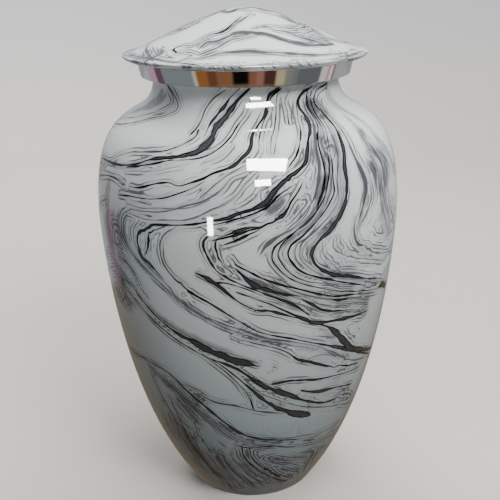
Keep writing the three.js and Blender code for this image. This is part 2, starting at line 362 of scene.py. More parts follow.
bodyGrey = {
    "hook": {"level": -22, "ink": (0.4, 0.5, 0.5, 0.5, 0.4),
        "seen": [(168, 86), (174, 95), (178, 103), (177, 109), (169, 114), (151, 118), (136, 122), (123, 124),
        (114, 124)]},
    "hookInner": {"ink": (0.3, 0.3, 0.3, 0.25),
        "seen": [(169, 89), (173, 97), (173, 103), (166, 109), (152, 113), (136, 117), (120, 119)]},
    "shoulderFaint": {"ink": (0.1, 0.2, 0.1), "seen": [(231, 146), (224, 154), (213, 160), (203, 163)]},
    "lensFaint": {"ink": (0.1, 0.2, 0.1), "seen": [(181, 166), (156, 171), (136, 171), (126, 170)]},
    "pairLeft": {"ink": (0.2, 0.5, 0.4, 0.2),
        "seen": [(246, 165), (228, 175), (215, 185), (207, 192), (201, 197)]},
    "fineTwo": {"level": 22, "ink": (0.3, 0.4, 0.3, 0.35, 0.2),
        "seen": [(246, 172), (232, 178), (222, 189), (213, 196), (201, 202), (185, 206), (173, 210),
        (156, 212), (141, 211), (131, 209)]},
    "fineThree": {"ink": (0.2, 0.25, 0.2),
        "seen": [(207, 201), (195, 206), (177, 209), (158, 208), (142, 208), (128, 204)]},
    "fineFour": {"level": 29, "ink": (0.25, 0.4, 0.35, 0.3, 0.2),
        "seen": [(255, 174), (244, 185), (236, 196), (225, 204), (211, 210), (197, 217), (185, 220),
        (166, 220), (152, 220), (141, 218), (129, 213)]},
    "fineFive": {"ink": (0.2, 0.4, 0.2),
        "seen": [(270, 184), (262, 188), (254, 198), (245, 205), (230, 211)]},
    "shortHook": {"ink": (0.2, 0.35, 0.5), "seen": [(278, 180), (268, 187), (261, 192), (261, 197)]},
    "loop": {"level": 78, "ink": (0.2, 0.3, 0.4, 0.4, 0.5, 0.6, 0.9, 0.9, 0.5),
        "seen": [(302, 196), (308, 194), (311, 201), (307, 213), (299, 223), (294, 228), (285, 233),
        (273, 240), (266, 246), (262, 252)]},
    "bundleEdge": {"ink": (0.2, 0.4, 0.35, 0.5, 0.7, 0.7, 0.5, 0.5, 0.3),
        "seen": [(303, 101), (306, 110), (312, 120), (314, 130), (315, 142), (317, 154), (319, 164),
        (319, 174), (317, 186), (315, 196), (309, 207), (300, 218), (287, 230)]},
    "bundleSoft": {"ink": (0.3, 0.6, 0.9, 0.8, 0.4, 0.2),
        "seen": [(304, 104), (307, 112), (312, 120), (315, 133), (317, 150), (316, 164)]},
    "bundleThird": {"ink": (0.2, 0.5, 0.3, 0.5, 0.3),
        "seen": [(319, 112), (333, 138), (338, 158), (337, 180), (338, 200), (330, 215), (315, 231),
        (301, 246), (300, 256), (308, 267), (322, 275)]},
    "bundleRight": {"level": 120, "ink": (0.3, 0.5, 0.6, 0.9, 1.3, 1.2, 0.6),
        "seen": [(327, 112), (335, 122), (347, 139), (355, 158), (362, 172), (366, 185), (364, 202),
        (360, 216)]},
    "rightThin": {"ink": (0.2, 0.3, 0.3, 0.2),
        "seen": [(337, 237), (337, 244), (342, 251), (352, 257), (366, 259), (382, 260)]},
    "rightOuter": {"ink": (0.3, 0.7, 0.7, 0.4, 0.3),
        "seen": [(356, 218), (354, 230), (356, 240), (364, 247), (374, 252), (390, 251)]},
    "rightStep": {"ink": (0.2, 0.3, 0.3, 0.2), "seen": [(322, 242), (324, 255), (331, 262), (338, 270)]},
    "rightFan": {"level": 130, "ink": (0.4, 0.4, 0.3, 0.4, 0.5),
        "seen": [(361, 131), (368, 141), (375, 152), (381, 163), (383, 178), (385, 193), (389, 214),
        (394, 228)]},
    "outer": {"level": 140, "ink": (0.2, 0.3, 0.35, 0.3),
        "seen": [(328, 92), (329, 97), (337, 106), (352, 115), (368, 127), (378, 140), (389, 155),
        (394, 172)]},
    "rightDrops": {"ink": (0.2, 0.5, 0.7, 0.3), "seen": [(370, 185), (371, 200), (367, 212), (362, 222)]},
    "outerLeft": {"ink": (0.3, 0.4, 0.4, 0.3, 0.5, 0.6, 0.3, 0.3),
        "seen": [(130, 210), (123, 214), (121, 222), (122, 233), (130, 250), (140, 263), (154, 277),
        (169, 291), (190, 309), (221, 323), (245, 331), (262, 337), (292, 342), (320, 347), (335, 356)]},
    "outerLeftTwo": {"ink": (0.2, 0.3, 0.4, 0.3, 0.3),
        "seen": [(139, 221), (133, 230), (135, 243), (140, 255), (150, 268), (164, 282), (180, 299),
        (200, 314), (225, 328), (240, 333)]},
    "limbLens": {"ink": (0.3, 0.5, 0.4),
        "seen": [(118, 256), (126, 262), (134, 273), (140, 286), (147, 297)]},
    "limbEdge": {"level": 34, "ink": (0.3, 0.4, 0.4, 0.3),
        "seen": [(105, 200), (106, 222), (109, 240), (114, 254)]},
    "blobLower": {"ink": (0.3, 0.4, 0.3),
        "seen": [(331, 401), (336, 396), (344, 394), (351, 396), (350, 401), (342, 405)]},
    "cornerLine": {"ink": (0.3, 0.4, 0.3),
        "seen": [(320, 347), (333, 352), (345, 358), (355, 360), (364, 357)]},
    "pinOuter": {"ink": (0.2, 0.3, 0.3, 0.2), "seen": [(296, 444), (313, 442), (324, 437), (336, 430)]},
    "pinInner": {"level": -14, "ink": (0.3, 0.4, 0.3, 0.2),
        "seen": [(304, 457), (288, 457), (273, 456), (267, 458), (273, 461), (288, 463), (303, 466)]},
    "shoreLine": {"ink": (0.3, 0.5, 0.3, 0.2),
        "seen": [(144, 357), (158, 375), (174, 389), (192, 405), (212, 420), (232, 436), (252, 444)]},
    "footVein": {"level": -40, "ink": (0.3, 0.5, 0.3),
        "seen": [(152, 372), (160, 392), (172, 414), (181, 434), (192, 452)]},
}
bodySmoke = {
    "hookWash": {"ink": (1.5, 3.5, 3, 1), "seen": [(165, 96), (155, 103), (140, 109), (124, 116)]},
    "hookDark": {"ink": (1.5, 2.2, 1), "seen": [(162, 92), (157, 99), (147, 104)]},
    "boldShade": {"ink": (0.8, 2.2, 2.2, 1.0),
        "seen": [(240, 98), (224, 118), (214, 133), (203, 147), (188, 154)]},
    "lensShade": {"ink": (0.5, 1.4, 1.4, 1.0), "seen": [(152, 161), (137, 165), (122, 166), (108, 162)]},
    "bundleWash": {"ink": (1.0, 1.6, 2.0, 2.2, 2.2, 1.6, 0.8),
        "seen": [(309, 100), (318, 122), (323, 148), (329, 172), (327, 192), (320, 212), (303, 230),
        (286, 243)]},
    "bundleWashRight": {"ink": (0.8, 1.4, 1.4, 0.6),
        "seen": [(328, 122), (338, 146), (340, 172), (340, 198), (330, 220)]},
    "bundleShade": {"ink": (0.8, 1.8, 1.8, 1.4, 1.0),
        "seen": [(342, 160), (344, 185), (343, 200), (335, 218), (318, 238), (309, 252), (312, 264),
        (322, 272)]},
    "rightWash": {"ink": (1.2, 3.5, 4.0, 3.0),
        "seen": [(345, 116), (368, 146), (378, 175), (384, 205), (390, 232)]},
    "rightShade": {"ink": (0.6, 1.8, 1.8, 1.0),
        "seen": [(350, 148), (361, 170), (365, 188), (362, 210), (358, 230)]},
    # a lilac wash along the left edge that paints the pinkish reflection that shows there at grazing angles
    "limbReflectionWash": {"ink": (2.5, 3.5, 3.5, 2.5),
        "seen": [(109, 180), (107, 205), (109, 232), (114, 258), (122, 285), (130, 305)]},
    "outerWash": {"ink": (0.8, 1.3, 1.5, 1.2, 0.8),
        "seen": [(126, 216), (124, 236), (136, 258), (156, 281), (184, 305), (220, 325), (260, 339),
        (300, 345), (335, 352)]},
    "smear": {"ink": (0.6, 1.6, 1.2, 0.4), "seen": [(180, 300), (190, 307), (201, 313), (212, 318)]},
    "coreShade": {"ink": (0.6, 1.0, 1.4, 2.0, 1.6, 0.8),
        "seen": [(132, 284), (158, 314), (180, 330), (206, 343), (234, 355), (258, 364)]},
    "lowShade": {"ink": (2.5, 4, 5, 4.5, 2.5),
        "seen": [(150, 366), (168, 384), (190, 403), (212, 422), (236, 437), (262, 445)]},
    "eyeShade": {"ink": (0.5, 1.8, 1.6, 1.0),
        "seen": [(239, 272), (252, 281), (272, 290), (300, 295), (330, 298)]},
    "cuspShade": {"ink": (1.5, 1.2, 0.8), "seen": [(200, 276), (210, 281), (222, 288)]},
    "branchShade": {"ink": (1.0, 2.0, 1.0), "seen": [(322, 329), (330, 337), (337, 346)]},
    "middleShade": {"ink": (0.6, 1.4, 1.2), "seen": [(242, 336), (275, 342), (310, 348), (345, 357)]},
    "lowerEndShade": {"ink": (0.8, 1.6, 1.4, 0.8), "seen": [(330, 277), (350, 279), (368, 281), (385, 281)]},
    "footShade": {"ink": (3, 5, 6.5, 5), "seen": [(176, 420), (192, 445), (210, 465), (232, 480)]},
    "pinShade": {"ink": (1.5, 3, 3, 1.5), "seen": [(272, 460), (296, 461), (318, 452), (334, 438)]},
}
# Where small curls crowd together, as pixel and reach in mm.
bodyCurls = [
    ((276, 214), 5), ((226, 264), 4), ((183, 292), 5), ((368, 240), 7), ((343, 258), 6), ((349, 306), 3),
    ((196, 437), 6), ((290, 183), 3), ((218, 449), 5), ((152, 236), 4), ((354, 331), 5), ((341, 362), 5),
    ((270, 366), 4), ((240, 344), 3), ((264, 472), 5),
]
# Where fine lines crowd together.
bodyBusy = [
    ((316, 110), 8), ((323, 150), 9), ((326, 190), 9), ((312, 222), 9), ((296, 250), 9), ((380, 170), 13),
    ((388, 220), 13), ((340, 283), 13), ((278, 292), 9), ((300, 297), 9), ((322, 302), 9),
    ((345, 306), 9), ((362, 300), 9), ((325, 345), 9), ((210, 460), 16), ((250, 475), 16),
    ((300, 465), 16), ((180, 430), 14), ((112, 230), 11), ((122, 290), 11), ((190, 410), 11),
    ((150, 160), 5), ((275, 205), 6),
]
# The same veins go on behind, half a turn round and leaning, in degrees per mm of height. There a level is
# counted the other way, so that the flow closes round the sides.
bodyBehind = {"turn": 180, "lean": 0.2, "middle": 120, "levelStart": 140, "levelSign": -1}


# Depths in mm between which the urn is looked for, and how far a pixel may be moved in, as a share.
sight = {"near": 300, "far": 560, "step": 0.5, "inward": 0.3, "tries": 61}


def seenOn(line, pixels):  # where pixels fall on a turned surface; one just off its outline is moved in
    turn = np.array(cameraTurn())
    start = np.array(shot["place"])
    steps = np.arange(sight["near"], sight["far"], sight["step"])[:, None]
    middle = np.array([shot["frame"] / 2, shot["frame"] / 2])
    found = []
    for pixel in pixels:
        for inward in np.linspace(0, sight["inward"], sight["tries"]):
            x, y = (np.array(pixel) + inward * (middle - pixel) * (1, 0) - middle) / shot["focal"]
            path = start + steps * (turn @ np.array([x, -y, -1]))
            radius = np.interp(path[:, 2], line[:, 1], line[:, 0], left=-1, right=-1)
            gap = np.hypot(path[:, 0], path[:, 1]) - radius
            crossed = np.nonzero((gap[:-1] > 0) & (gap[1:] <= 0))[0]
            if len(crossed):
                k = crossed[0]
                share = gap[k] / (gap[k] - gap[k + 1])
                found.append(path[k] + share * (path[k + 1] - path[k]))
                break
    return np.array(found)


def placedOn(line, azimuth, height):
    radius = np.interp(height, line[:, 1], line[:, 0])
    return np.stack([radius * np.sin(azimuth), -radius * np.cos(azimuth), height], 1)


def goneRound(line, places, behind):  # the same course on the far side
    turn = np.radians(behind["turn"] + behind["lean"] * (places[:, 2] - behind["middle"]))
    return placedOn(line, np.arctan2(places[:, 0], -places[:, 1]) + turn, places[:, 2])


def facing(line, places):  # the outward normal of a turned surface
    lean = np.interp(places[:, 2], line[:, 1], np.gradient(line[:, 0], line[:, 1]))
    radius = np.maximum(np.hypot(places[:, 0], places[:, 1]), onAxis)
    normal = np.stack([places[:, 0] / radius, places[:, 1] / radius, -lean], 1)
    return normal / np.linalg.norm(normal, axis=1)[:, None]


# The flow is one smooth field through the levels of the veins.
flowReach = 100.0  # mm, so that cubes of distances stay small
flowBatch = 4000  # places worked out at a time
flowTerms = 4  # a constant and three slopes


class Flow:
    def __init__(self, guides):
        self.points = np.vstack([points for points, level in guides])
        levels = np.concatenate([np.full(len(points), float(level)) for points, level in guides])
        count = len(self.points)
        system = np.zeros((count + flowTerms, count + flowTerms))
        system[:count, :count] = self.distances(self.points) ** 3
        system[:count, count:] = self.plane(self.points)
        system[count:, :count] = self.plane(self.points).T
        self.weights = np.linalg.solve(system, np.concatenate([levels, np.zeros(flowTerms)]))

    def plane(self, places):
        return np.hstack([np.ones((len(places), 1)), places / flowReach])

    def distances(self, places):
        return np.linalg.norm(places[:, None] - self.points[None], axis=2) / flowReach

    def at(self, places):
        parts = np.array_split(places, len(places) // flowBatch + 1)
        return np.concatenate([self.distances(part) ** 3 @ self.weights[:-flowTerms]
                               + self.plane(part) @ self.weights[-flowTerms:] for part in parts])


# In mm: the step between a stroke's samples, how far beyond its edge it has left its layer and over what it
# leaves, the room between strokes of one layer, what counts as far off, and how it fades past its end.
laying = {
    "step": 1.0, "leave": 3.0, "leaveOver": 1.6, "spare": 2, "room": 10, "far": 20.0,
    "endStart": 1.3, "endOver": 1.5, "pairsAtOnce": 2000000,
}


def stroke(line, knots, ink):  # a smooth run through the knots: places, directions, sides and thicknesses
    reach = np.concatenate([[0], np.cumsum(np.linalg.norm(np.diff(knots, axis=0), axis=1))])
    pull = np.gradient(knots, reach, axis=0)
    along = np.linspace(0, reach[-1], max(int(reach[-1] / laying["step"]), 3))
    k = np.clip(np.searchsorted(reach, along, side="right") - 1, 0, len(knots) - 2)
    span = (reach[k + 1] - reach[k])[:, None]
    t = (along - reach[k])[:, None] / span
    places = ((2 * t ** 3 - 3 * t ** 2 + 1) * knots[k] + (t ** 3 - 2 * t ** 2 + t) * span * pull[k]
              + (3 * t ** 2 - 2 * t ** 3) * knots[k + 1] + (t ** 3 - t ** 2) * span * pull[k + 1])
    tangent = np.gradient(places, axis=0)
    tangent /= np.linalg.norm(tangent, axis=1)[:, None]
    side = np.cross(facing(line, places), tangent)
    side /= np.linalg.norm(side, axis=1)[:, None]
    half = np.interp(along / reach[-1], np.linspace(0, 1, len(ink)), ink)
    return places, tangent, side, half


def layered(strokes):  # strokes sorted into layers, so that no two of one layer come close
    layers = []
    for one in strokes:
        for layer in layers:
            room = min((np.linalg.norm(one[0][:, None] - other[0][None], axis=2)
                        - one[3][:, None] - other[3][None]).min() for other in layer)
            if room > laying["room"]:
                layer.append(one)
                break
        else:
            layers.append([one])
    return layers


def fadePast(past):  # how much of a stroke is left so far past its end
    return np.clip(laying["endStart"] - past / laying["endOver"], 0, 1)


# The signed distance of each place to the nearest stroke of a layer, the ink there, the plain distance,
# and how far the place lies past that stroke's end.
def inked(places, layer):
    far = laying["far"]
    apart, ink, nearest, beyond = (np.full(len(places), start) for start in (far, 0.0, far, 0.0))
    for spots, tangent, side, half in layer:
        margin = half.max() + laying["leave"] + laying["spare"]
        near = np.nonzero(((places > spots.min(0) - margin) & (places < spots.max(0) + margin)).all(1))[0]
        for part in np.array_split(near, len(near) * len(spots) // laying["pairsAtOnce"] + 1):
            if not len(part):
                continue
            offset = places[part][:, None] - spots[None]
            k = (offset ** 2).sum(2).argmin(1)
            offset = offset[np.arange(len(part)), k]
            across = (offset * side[k]).sum(1)
            past = np.where((k == 0) | (k == len(spots) - 1), np.abs((offset * tangent[k]).sum(1)), 0)
            distance = np.hypot(across, past)
            left = np.clip((half[k] + laying["leave"] - distance) / laying["leaveOver"], 0, 1)
            strength = half[k] * left * fadePast(past)
            better = distance < nearest[part]
            chosen = part[better]
            nearest[chosen], apart[chosen], ink[chosen] = distance[better], across[better], strength[better]
            beyond[chosen] = past[better]
    return apart, ink, nearest, beyond


# Strokes over the two sides, from the ends on the right of one half to those on the left of the other, in
# order of height. They start from an azimuth in degrees, and wave in mm. Ink is the half thickness in mm, and
# the spreads say how it differs from stroke to stroke and along one.
sides = {
    "from": 58, "knots": 9, "wave": 3.5, "ink": {"black": 0.75, "grey": 0.5},
    "spread": (0.4, 1.5), "tip": 0.4, "spreadAlong": (0.5, 1.2, 5),
}


def bridges(line, fronts, backs, seed):
    draw = np.random.default_rng(seed)
    ends = [(kind, k, end) for kind in sides["ink"] for k in range(len(fronts[kind])) for end in (0, -1)]
    places = [fronts[kind][k][end] for kind, k, end in ends]
    azimuths = [math.degrees(math.atan2(place[0], -place[1])) for place in places]
    made = {kind: [] for kind in fronts}
    for here, there in ((fronts, backs), (backs, fronts)):
        starts = [(here[kind][k][end], kind) for (kind, k, end), azimuth in zip(ends, azimuths)
                  if azimuth > sides["from"]]
        stops = [there[kind][k][end] for (kind, k, end), azimuth in zip(ends, azimuths)
                 if azimuth < -sides["from"]]
        starts.sort(key=lambda start: start[0][2])
        stops.sort(key=lambda stop: stop[2])
        count = max(len(starts), len(stops)) if starts and stops else 0
        for i in range(count):
            start, kind = starts[i * len(starts) // count]
            stop = stops[i * len(stops) // count]
            first, last = (math.atan2(place[0], -place[1]) for place in (start, stop))
            t = np.linspace(0, 1, sides["knots"])
            azimuth = first + ((last - first) % (2 * math.pi)) * t
            height = start[2] + (stop[2] - start[2]) * (3 * t ** 2 - 2 * t ** 3)
            height = height + sides["wave"] * np.sin(2 * math.pi * t) * 4 * t * (1 - t)
            half = sides["ink"][kind] * draw.uniform(*sides["spread"])
            half = half * np.array([sides["tip"], *draw.uniform(*sides["spreadAlong"]), sides["tip"]])
            made[kind].append(stroke(line, placedOn(line, azimuth, height), half))
    return made


# The step for the flow's slope, the skin's depth and the reach beside a stroke where lines crowd are in mm.
marbling = {"slopeStep": 0.5, "skin": 1.5, "besideCrowd": 0.6, "besideReach": 3.5}


def marble(piece, line, flow, strokes, behind, curls, busy):
    mesh = piece.data
    places = np.empty(len(mesh.vertices) * 3)
    mesh.vertices.foreach_get("co", places)
    places = places.reshape(-1, 3) / mm
    levels = flow.at(places)
    step = marbling["slopeStep"]
    grade = np.sqrt(sum(((flow.at(places + shift) - levels) / step) ** 2 for shift in np.eye(3) * step))
    surface = np.interp(places[:, 2], line[:, 1], line[:, 0])
    outer = np.hypot(places[:, 0], places[:, 1]) > surface - marbling["skin"]
    near, ended = np.full(len(places), laying["far"]), np.zeros(len(places))
    values = {"flow": levels, "grade": grade}
    layers = {kind: layered(ones) for kind, ones in strokes.items()}
    for kind, ones in layers.items():
        for i, layer in enumerate(ones):
            apart, ink, nearest, beyond = inked(places, layer)
            values[f"{kind}_{i}_apart"], values[f"{kind}_{i}_ink"] = apart, ink * outer
            if kind != "smoke":
                ended = np.where(nearest < near, beyond, ended)
                near = np.minimum(near, nearest)
        print(" ", piece.name, kind, len(strokes[kind]), "strokes in", len(ones), "layers")

    def spots(marks):
        total = np.zeros(len(places))
        for pixel, radius in marks:
            front = seenOn(line, [pixel])
            for point in (front, goneRound(line, front, behind)):
                total = np.maximum(total, np.exp(-(np.linalg.norm(places - point, axis=1) / radius) ** 2))
        return total * outer

    values["curl"], values["crowd"] = spots(curls), spots(busy)
    values["beside"], values["open"] = near, fadePast(ended)
    lined = marbling["besideCrowd"] * np.exp(-(near / marbling["besideReach"]) ** 2)
    values["busy"] = np.clip(values["crowd"] + lined, 0, 1) * outer
    for name, value in values.items():
        mesh.attributes.new(name, "FLOAT", "POINT").data.foreach_set("value", value)
    return {kind: len(ones) for kind, ones in layers.items()}


def marbleAll(piece, line, kinds, behind, curls, busy, seed=None):
    fronts = {kind: [seenOn(line, vein["seen"]) for vein in veins.values()] for kind, veins in kinds.items()}
    backs = {kind: [goneRound(line, knots, behind) for knots in ones] for kind, ones in fronts.items()}
    strokes = {kind: [] for kind in kinds} if seed is None else bridges(line, fronts, backs, seed)
    guides = []
    for kind, veins in kinds.items():
        for vein, front, back in zip(veins.values(), fronts[kind], backs[kind]):
            strokes[kind] += [stroke(line, front, vein["ink"]), stroke(line, back, vein["ink"])]
            if "level" in vein:
                guides += [(front, vein["level"]),
                           (back, behind["levelStart"] + behind["levelSign"] * vein["level"])]
    return marble(piece, line, Flow(guides), strokes, behind, curls, busy)


bodyVeins = {"black": bodyBlack, "grey": bodyGrey, "smoke": bodySmoke}
bodyLayers = marbleAll(bodyPiece, bodyOutside(), bodyVeins, bodyBehind, bodyCurls, bodyBusy, seed=11)
print("body marbled")

lidBlack = {
    "wander": {"level": 12, "ink": (0.2, 0.5, 0.5, 0.8, 0.6, 0.4, 0.4, 0.6, 0.5, 0.4, 0.3),
        "seen": [(241, 17), (236, 21), (230, 26), (225, 30), (218, 33), (213, 34), (206, 37), (199, 41),
        (191, 45), (182, 46), (175, 48), (174, 51), (177, 53), (186, 52), (193, 53)]},
    "zigzag": {"ink": (0.3, 0.5, 0.4, 0.3), "seen": [(265, 26), (275, 27), (287, 28), (299, 28), (308, 26)]},
    "rimDash": {"ink": (0.3, 0.7, 0.3), "seen": [(184, 63), (190, 64), (198, 65)]},
}
lidGrey = {
    "slantOne": {"ink": (0.15, 0.4, 0.15), "seen": [(211, 66), (214, 68), (217, 70)]},
    "slantTwo": {"ink": (0.15, 0.3, 0.15), "seen": [(222, 66), (224, 68), (226, 70)]},
    "slantThree": {"ink": (0.15, 0.3, 0.15), "seen": [(230, 66), (232, 68), (234, 70)]},
    "slantFour": {"ink": (0.15, 0.3, 0.15), "seen": [(238, 66), (240, 68), (242, 69)]},
    "slantFive": {"ink": (0.15, 0.3, 0.15), "seen": [(261, 65), (262, 67), (264, 69)]},
    "slantSix": {"ink": (0.2, 0.3, 0.2), "seen": [(272, 65), (274, 67), (276, 69)]},
    "slantSeven": {"ink": (0.15, 0.3, 0.15), "seen": [(287, 63), (290, 66), (293, 68)]},
    "slantEight": {"ink": (0.15, 0.4, 0.15), "seen": [(296, 60), (299, 64), (303, 67)]},
    "slantNine": {"ink": (0.15, 0.4, 0.15), "seen": [(305, 60), (308, 63), (311, 66)]},
    "slantTen": {"ink": (0.15, 0.4, 0.15), "seen": [(313, 60), (316, 63), (319, 65)]},
    "peak": {"level": 0, "ink": (0.8, 1.6, 1.6, 1.8, 1.8, 1.4, 0.6),
        "seen": [(220, 11), (230, 12), (237, 9), (244, 8), (256, 8), (265, 10), (275, 12), (284, 15)]},
    "peakRight": {"ink": (0.5, 0.8, 0.6, 0.9, 0.5),
        "seen": [(285, 16), (292, 21), (299, 24), (310, 28), (314, 31), (327, 38), (339, 41), (352, 43)]},
    "secondPeak": {"ink": (0.3, 0.6, 0.4, 0.2),
        "seen": [(251, 14), (243, 19), (237, 23), (230, 28), (222, 33)]},
    "arch": {"level": 22, "ink": (0.7, 1.1, 1.1, 1.6, 1.7, 1.2, 1.2, 1.4, 1.3, 0.9),
        "seen": [(201, 47), (206, 43), (217, 41), (227, 37), (237, 33), (248, 32), (256, 33), (265, 34),
        (274, 37), (282, 40), (296, 43), (310, 45), (325, 45), (332, 44)]},
    "archLower": {"ink": (0.4, 0.6, 0.5, 0.6, 0.3),
        "seen": [(193, 53), (198, 55), (206, 52), (217, 48), (225, 43), (231, 40), (241, 38), (254, 35)]},
    "archUpper": {"ink": (0.4, 0.5, 0.5, 0.4),
        "seen": [(253, 28), (265, 27), (275, 30), (289, 32), (305, 33), (313, 31)]},
    "archRight": {"ink": (0.4, 0.9, 1.1, 0.9, 0.5),
        "seen": [(286, 32), (292, 34), (299, 37), (310, 40), (322, 43)]},
    "rimTop": {"level": 36, "ink": (0.3, 0.9, 1.0, 0.8, 0.9, 1.0, 0.7, 0.4),
        "seen": [(208, 57), (220, 53), (234, 52), (248, 51), (265, 52), (282, 53), (299, 54), (317, 55),
        (334, 54), (351, 52)]},
    "rimSecond": {"ink": (0.3, 0.6, 0.5, 0.2), "seen": [(175, 63), (186, 59), (199, 58), (213, 56)]},
    "rimLeft": {"ink": (0.3, 0.8, 0.8, 0.4), "seen": [(124, 53), (136, 56), (153, 59), (170, 62), (187, 64)]},
    "streak": {"ink": (0.3, 0.8, 1.0, 0.4), "seen": [(167, 34), (179, 30), (189, 27), (196, 23), (201, 20)]},
    "rimFace": {"level": 44, "ink": (0.3, 0.3, 0.4),
        "seen": [(205, 65), (230, 66), (262, 65), (300, 63), (340, 59)]},
    "rimEnd": {"ink": (0.3, 0.6, 0.5, 0.3), "seen": [(340, 57), (351, 55), (358, 52), (365, 52)]},
    "rimEndLower": {"ink": (0.3, 0.5, 0.3), "seen": [(342, 60), (356, 59), (365, 56)]},
}
lidSmoke = {
    # a grey wash along the left of the rim that paints the shadow under its rolled edge
    "rimShadowWash": {"ink": (1.5, 3.0, 3.0, 2.0, 0.8),
        "seen": [(124, 56), (138, 57), (155, 59), (172, 62), (200, 66)]},
    "wanderWash": {"ink": (0.8, 1.6, 1.4, 1.8, 0.8),
        "seen": [(240, 21), (228, 30), (214, 36), (200, 43), (186, 49)]},
    "archWash": {"ink": (1.2, 2.6, 2.4, 1.6, 1.6, 1.8, 1.0),
        "seen": [(203, 46), (218, 42), (232, 37), (250, 33), (268, 36), (294, 42), (326, 45)]},
    "archRightWash": {"ink": (0.8, 1.8, 1.8, 1.0), "seen": [(284, 31), (298, 35), (312, 39), (330, 43)]},
    "peakWash": {"ink": (1.0, 2.4, 2.4, 1.2), "seen": [(224, 12), (244, 10), (268, 13), (292, 21)]},
    "rimTopWash": {"ink": (0.8, 1.8, 1.6, 1.8, 1.0),
        "seen": [(200, 58), (230, 54), (262, 54), (300, 56), (344, 55)]},
    "streakWash": {"ink": (1.0, 2.2, 1.4), "seen": [(160, 38), (180, 31), (198, 23)]},
    "rimEndWash": {"ink": (1.0, 2.0, 1.0), "seen": [(336, 58), (350, 56), (362, 54)]},
}
lidBehind = {"turn": 205, "lean": 0, "middle": 250, "levelStart": 0, "levelSign": 1}
lidCurls = [((176, 52), 4), ((292, 18), 4), ((312, 29), 5), ((303, 24), 4), ((345, 55), 6)]
lidBusy = [((300, 24), 8), ((320, 38), 6), ((150, 57), 10)]
lidVeins = {"black": lidBlack, "grey": lidGrey, "smoke": lidSmoke}
lidOutside = lidOutline()[1:-lid["innerRows"] - 3]  # from the underside's edge over the rim to the peak
lidLayers = marbleAll(lidPiece, lidOutside, lidVeins, lidBehind, lidCurls, lidBusy)
print("lid marbled")


def addNode(tree, kind, inputs, out=0, **settings):  # adds a node with settings and links, gives one output
    made = tree.nodes.new("ShaderNode" + kind)
    for key, value in settings.items():
        setattr(made, key, value)
    for key, value in inputs.items():
        if isinstance(value, bpy.types.NodeSocket):
            tree.links.new(value, made.inputs[key])
        else:
            made.inputs[key].default_value = value
    return made.outputs[out]


def newMaterial(name):
    material = bpy.data.materials.new(name)
    material.use_nodes = True
    tree = material.node_tree
    return material, tree, tree.nodes["Principled BSDF"]


# Gloss enamel over cast aluminium, marbled while wet: a pale ground that greys towards the foot, partly as
# greyer enamel and partly as painted shade, black and grey veins that swell and thin, hair lines beside them,
# smoky washes, and a glassy skin that gives sharp highlights. Sizes, spacings and soft edges are in mm,
# heights in m. A span is where something sets in and where it is full.
enamel = {
    # the ground's colour near the foot is partly greyer enamel and partly painted shade
    "ground": "#DFE3E1", "footGreyAndShade": "#93A2A3", "groundSpan": (0.0, 0.185),
    "lilac": "#A59DAA", "smoke": "#73787C", "grey": "#404447", "black": "#060607", "core": "#54585A",
    "roughness": 0.04, "ior": 1.5,
    # strokes: one of 1/9 mm is full ink, and outside is a depth that no place in a stroke has
    "blackSoft": 0.3, "greySoft": 0.5, "smokeSoft": 2.2, "fullInk": 9.0, "outside": -9.0,
    "wobbleSize": 9, "wobble": 0.32, "curlSize": 4.5, "curl": 3.2,
    "swellSize": 8, "swellSpan": (0.3, 0.7), "thin": 0.6, "thick": 1.35,
    "coreSpan": (1.2, 3.0), "coreStreakSpan": (0.44, 0.56),
    "smokeStreakSpan": (0.3, 0.7), "smokeThinned": 0.4, "greyStreakSpan": (0.25, 0.6), "greyThinned": 0.65,
    # fine lines
    "hairSpacing": 1.6, "hairStart": 0.8, "hairReach": 16, "hairHalf": 0.42, "hairWander": 18,
    "hairDrift": 1.6, "hairSpan": (0.16, 0.45), "hair": 0.85,
    "combSpacing": 2.1, "combReach": 28, "combHalf": 0.38, "combWander": 26, "combDrift": 1.5,
    "combSpan": (0.3, 0.65), "steepSpan": (0.5, 0.85),
    "lineSpan": (0.37, 0.62), "lineShift": 7.31,
    # washes; the stretch is how far across the flow their noise changes
    "streakSize": 30, "streakStretch": 0.45,
    "washSize": 45, "washStretch": 5.0, "wash": 0.75, "washSpan": (0.4, 0.6), "busySpan": (0.15, 0.8),
    "footSpan": (0.085, 0.02), "footSlopeSpan": (0.45, 0.8),
    "lilacSize": 50, "lilacStretch": 14.0, "lilacSpan": (0.42, 0.66),
}


